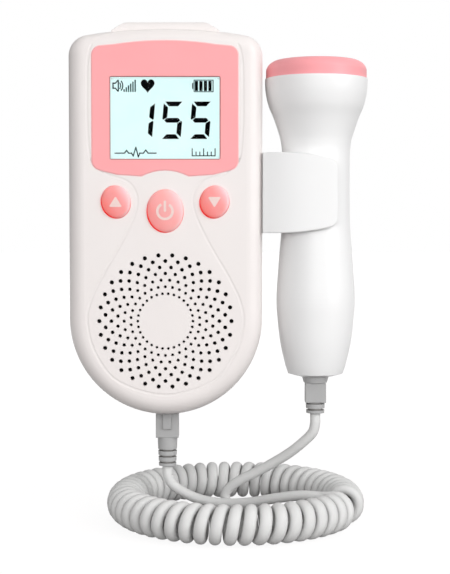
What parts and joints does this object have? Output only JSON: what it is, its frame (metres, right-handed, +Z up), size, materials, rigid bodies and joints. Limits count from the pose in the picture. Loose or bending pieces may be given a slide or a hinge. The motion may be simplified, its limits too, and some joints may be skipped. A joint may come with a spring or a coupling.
{
  "type": "fetal doppler",
  "caption": "Hand-held fetal doppler: display unit with buttons and loudspeaker, a clipped-on probe and a curly lead between them.",
  "frame": {"origin": "on the flat back face, on the unit's centre line, at half its height", "axes": "+X to the right seen from the front, +Y from the front face out of the back, +Z up along the unit"},
  "size_m": [0.1008, 0.0882, 0.1692],
  "materials": {
    "shell_white": "satin moulded ABS, warm white",
    "bezel_pink": "printed pink overlay",
    "window_clear": "clear acrylic",
    "lcd_pale": "pale reflective LCD",
    "tray_white": "white light box",
    "board_green": "solder mask",
    "switch_steel": "stamped can",
    "mesh_black": "woven dust cloth",
    "speaker_dark": "black frame",
    "cone_black": "pressed paper",
    "magnet_grey": "plated",
    "cell_wrap": "plain wrapped can",
    "spring_steel": "nickel plated",
    "contact_brass": "bare contact",
    "socket_dark": "dark moulding",
    "screw_steel": "zinc plated",
    "holder_white": "satin white",
    "button_pink": "translucent pink",
    "probe_white": "glossy white",
    "head_pink": "soft pink",
    "crystal_tan": "ceramic",
    "collar_grey": "grey moulding",
    "plug_grey": "grey moulding",
    "cord_grey": "pale grey PVC"
  },
  "bodies": {
    "root": {"front_shell": "shell_white", "rear_shell": "shell_white", "speaker_grille": "shell_white", "display_bezel": "bezel_pink", "display_window": "window_clear", "lcd_panel": "lcd_pale", "lcd_frame": "tray_white", "main_board": "board_green", "tact_switch_power": "switch_steel", "tact_switch_up": "switch_steel", "tact_switch_down": "switch_steel", "dust_mesh": "mesh_black", "speaker_frame": "speaker_dark", "speaker_cone": "cone_black", "speaker_magnet": "magnet_grey", "battery_left": "cell_wrap", "battery_right": "cell_wrap", "battery_springs": "spring_steel", "battery_plate": "contact_brass", "cord_socket": "socket_dark", "headphone_jack": "socket_dark", "case_screw_1": "screw_steel", "case_screw_2": "screw_steel", "case_screw_3": "screw_steel", "case_screw_4": "screw_steel", "probe_holder": "holder_white", "unit_plug": "plug_grey", "unit_boot": "plug_grey", "unit_lead": "cord_grey", "curly_cord": "cord_grey", "probe_lead": "cord_grey"},
    "power_button": {"power_button": "button_pink"},
    "up_button": {"up_button": "button_pink"},
    "down_button": {"down_button": "button_pink"},
    "battery_door": {"battery_door": "shell_white"},
    "probe": {"probe_handle": "probe_white", "probe_head_ring": "head_pink", "probe_lens": "head_pink", "probe_crystals": "crystal_tan", "probe_board": "board_green", "probe_collar": "collar_grey", "probe_plug": "plug_grey", "probe_boot": "plug_grey"}
  },
  "joints": [
    {"name": "power_button_press", "type": "slide", "parent": "root", "child": "power_button", "axis": [0, 1, 0], "range_m": [0, 0.0006], "stiffness_N_per_m": 2500},
    {"name": "up_button_press", "type": "slide", "parent": "root", "child": "up_button", "axis": [0, 1, 0], "range_m": [0, 0.0006], "stiffness_N_per_m": 2500},
    {"name": "down_button_press", "type": "slide", "parent": "root", "child": "down_button", "axis": [0, 1, 0], "range_m": [0, 0.0006], "stiffness_N_per_m": 2500},
    {"name": "battery_door_slide", "type": "slide", "parent": "root", "child": "battery_door", "axis": [0, 0, -1], "range_m": [0, 0.02]},
    {"name": "probe_slide", "type": "slide", "parent": "root", "child": "probe", "axis": [1, 0, 0], "range_m": [0, 0.05]}
  ]
}
